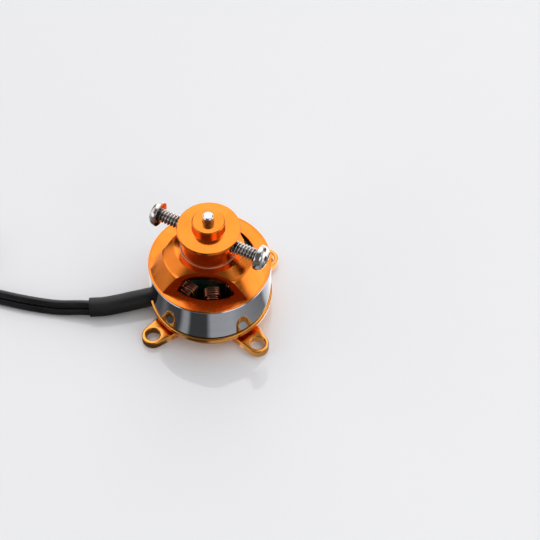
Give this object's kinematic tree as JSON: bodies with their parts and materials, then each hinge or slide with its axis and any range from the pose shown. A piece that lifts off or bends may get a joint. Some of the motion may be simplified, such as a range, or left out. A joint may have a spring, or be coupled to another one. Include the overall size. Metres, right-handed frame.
{
  "type": "brushless outrunner motor",
  "caption": "Small brushless outrunner motor with a windowed bell, polished flux ring, cross-eared base, prop-saver hub with two side screws, and three wire leads.",
  "frame": {"origin": "centre of the mounting face, on the shaft's axis", "axes": "+Z along the shaft towards the propeller, +X away from the side where the leads come out, ears at 45 degrees to X and Y"},
  "size_m": [0.0989, 0.0273, 0.027],
  "materials": {
    "base_anodised": "bright anodised, golden orange",
    "orange_anodised": "fine-turned, bright orange anodised",
    "polished_steel": "polished and plated steel",
    "shaft_steel": "ground steel",
    "nickel_screw": "bright nickel plate",
    "magnet": "nickel-plated magnet, satin",
    "stator_epoxy": "dark green epoxy coat",
    "copper_winding": "enamelled copper wire",
    "bearing_steel": "ground bearing steel",
    "brass_cage": "pressed brass",
    "brass_tube": "turned brass",
    "spring_steel": "oiled spring steel",
    "heat_shrink": "matt black heat-shrink tube",
    "wire_silicone": "satin black wire insulation",
    "connector_gold": "gold plate",
    "tie_nylon": "black nylon"
  },
  "bodies": {
    "stator": {"mount_base": "base_anodised", "bearing_tube": "brass_tube", "stator_core": "stator_epoxy", "coil_1": "copper_winding", "coil_2": "copper_winding", "coil_3": "copper_winding", "coil_4": "copper_winding", "coil_5": "copper_winding", "coil_6": "copper_winding", "coil_7": "copper_winding", "coil_8": "copper_winding", "coil_9": "copper_winding", "lower_outer_race": "bearing_steel", "upper_outer_race": "bearing_steel", "lead_sleeve": "heat_shrink", "lead_wire_1": "wire_silicone", "lead_wire_2": "wire_silicone", "lead_wire_3": "wire_silicone", "lead_coil": "wire_silicone", "lead_tie": "tie_nylon", "lead_tail_1": "wire_silicone", "lead_tail_2": "wire_silicone", "lead_tail_3": "wire_silicone", "bullet_connector_1": "connector_gold", "bullet_connector_2": "connector_gold", "bullet_connector_3": "connector_gold"},
    "rotor": {"shaft": "shaft_steel", "bell": "orange_anodised", "flux_ring": "polished_steel", "magnet_1": "magnet", "magnet_2": "magnet", "magnet_3": "magnet", "magnet_4": "magnet", "magnet_5": "magnet", "magnet_6": "magnet", "magnet_7": "magnet", "magnet_8": "magnet", "magnet_9": "magnet", "magnet_10": "magnet", "magnet_11": "magnet", "magnet_12": "magnet", "prop_saver_hub": "orange_anodised", "prop_screw_1": "nickel_screw", "prop_screw_2": "nickel_screw", "lower_inner_race": "bearing_steel", "upper_inner_race": "bearing_steel", "upper_shim": "shaft_steel", "lower_shim": "shaft_steel", "retaining_clip": "spring_steel"},
    "lower_cage": {"lower_ball_cage": "brass_cage"},
    "upper_cage": {"upper_ball_cage": "brass_cage"}
  },
  "joints": [
    {"name": "rotor_spin", "type": "hinge", "parent": "stator", "child": "rotor", "pos_m": [0, 0, 0.013], "axis": [0, 0, 1], "continuous": true},
    {"name": "lower_cage_spin", "type": "hinge", "parent": "stator", "child": "lower_cage", "pos_m": [0, 0, 0.00245], "axis": [0, 0, 1], "continuous": true},
    {"name": "upper_cage_spin", "type": "hinge", "parent": "stator", "child": "upper_cage", "pos_m": [0, 0, 0.01335], "axis": [0, 0, 1], "continuous": true}
  ],
  "couplings": [
    {"joint": "lower_cage_spin", "follows": "rotor_spin", "ratio": 0.391},
    {"joint": "upper_cage_spin", "follows": "rotor_spin", "ratio": 0.391}
  ]
}
